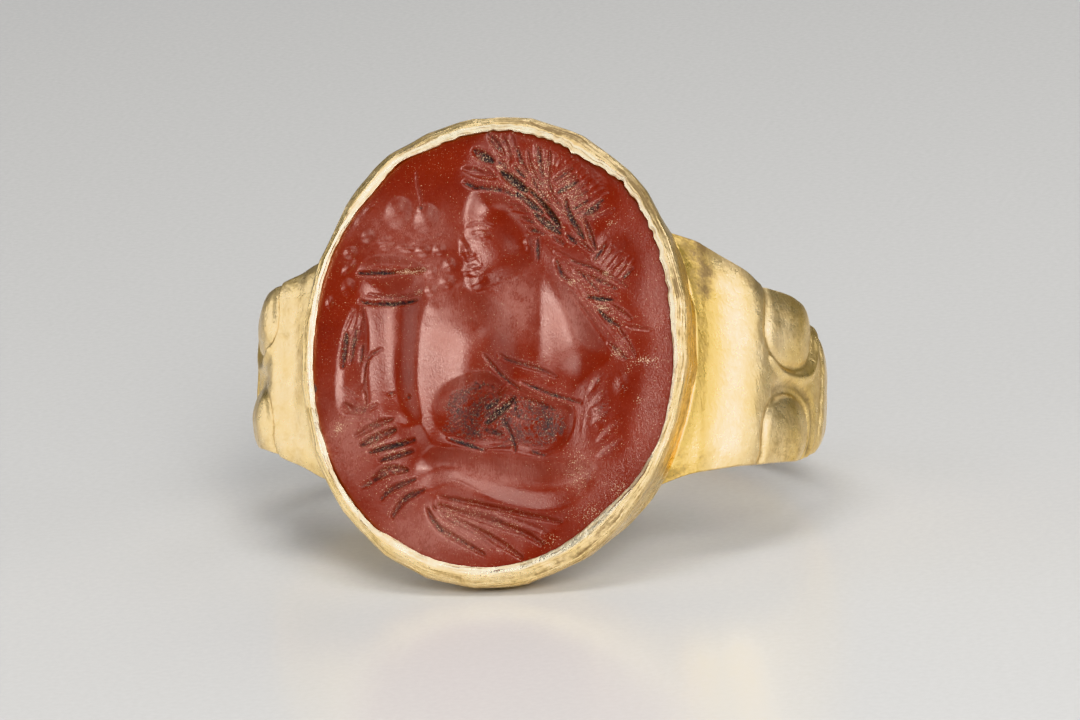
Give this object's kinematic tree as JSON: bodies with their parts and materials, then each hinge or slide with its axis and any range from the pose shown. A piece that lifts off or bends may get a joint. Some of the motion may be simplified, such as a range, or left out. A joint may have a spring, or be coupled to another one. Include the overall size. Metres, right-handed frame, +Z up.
{
  "type": "intaglio ring",
  "caption": "Gold finger ring with an oval setting, lobed shoulders and a flat engraved red seal stone, lying on its side.",
  "frame": {"origin": "middle of the ring's box at floor level, with the ring lying on its side", "axes": "+X across the ring from shoulder to shoulder, -Y the way the seal face looks, +Z up; the seal face leans back by 25.5 degrees"},
  "size_m": [0.0252, 0.0236, 0.019],
  "materials": {
    "gold": "hand worked and worn, satin, with dark patina in the recesses",
    "red_stone": "polished opaque red jasper, softly worn"
  },
  "bodies": {
    "root": {"gold_ring": "gold", "seal_stone": "red_stone"}
  },
  "joints": []
}
